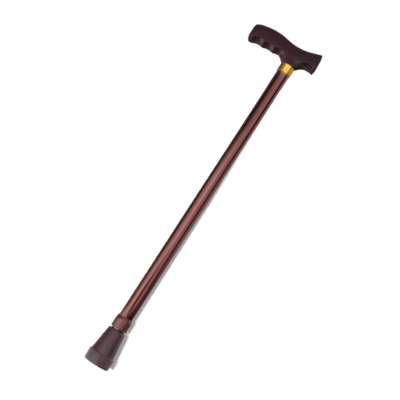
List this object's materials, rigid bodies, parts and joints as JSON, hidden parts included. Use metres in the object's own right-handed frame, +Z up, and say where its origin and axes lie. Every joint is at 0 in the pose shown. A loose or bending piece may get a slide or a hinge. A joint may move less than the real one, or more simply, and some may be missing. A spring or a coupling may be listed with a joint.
{
  "type": "walking cane",
  "caption": "Height-adjustable walking cane: T-shaped grip with finger scoops on a telescopic metal tube with snap button, lock nut and tapered rubber ferrule.",
  "frame": {"origin": "centre of the sole of the rubber ferrule, where the cane stands on the floor", "axes": "+Z up along the shaft; +X towards the short nose of the grip, its long arm to -X; +Y the side with the row of height holes and the snap button"},
  "size_m": [0.1381, 0.0494, 0.6897],
  "materials": {
    "grip_plastic": "satin moulded, dark purple brown",
    "gold_trim": "polished, gold coloured",
    "bronze_tube": "glossy bronze anodised",
    "bronze_nut": "satin bronze anodised",
    "bare_tube": "satin",
    "ferrule_rubber": "matte, brown",
    "steel": "zinc plated",
    "nylon": "natural nylon",
    "black_plastic": "matte black"
  },
  "bodies": {
    "lower_shaft": {"ferrule": "ferrule_rubber", "ferrule_disc": "steel", "bumper_ring": "black_plastic", "inner_tube": "bare_tube", "glide_bush": "nylon", "button_spring": "steel"},
    "button": {"snap_button": "steel"},
    "upper_shaft": {"outer_tube": "bronze_tube", "thread_bush": "black_plastic", "collar_ring": "gold_trim", "handle_spigot": "black_plastic", "screw_washer": "steel", "handle_screw": "steel", "spigot_pin": "steel", "handle_grip": "grip_plastic"},
    "clamp_ring": {"compression_ring": "nylon"},
    "nut": {"lock_nut": "bronze_nut"}
  },
  "joints": [
    {"name": "height_slide", "type": "slide", "parent": "lower_shaft", "child": "upper_shaft", "axis": [0, 0, 1], "range_m": [0, 0.1524]},
    {"name": "button_press", "type": "slide", "parent": "lower_shaft", "child": "button", "axis": [0, -1, 0], "range_m": [0, 0.004], "stiffness_N_per_m": 900, "springref_m": -0.003, "deforming": ["button_spring"]},
    {"name": "nut_travel", "type": "slide", "parent": "upper_shaft", "child": "clamp_ring", "axis": [0, 0, -1], "range_m": [0, 0.001]},
    {"name": "nut_turn", "type": "hinge", "parent": "clamp_ring", "child": "nut", "pos_m": [0, 0, 0.0832], "axis": [0, 0, -1], "range_deg": [0, 180]}
  ],
  "couplings": [
    {"joint": "nut_turn", "follows": "nut_travel", "rad_per_m": 3141.6}
  ]
}
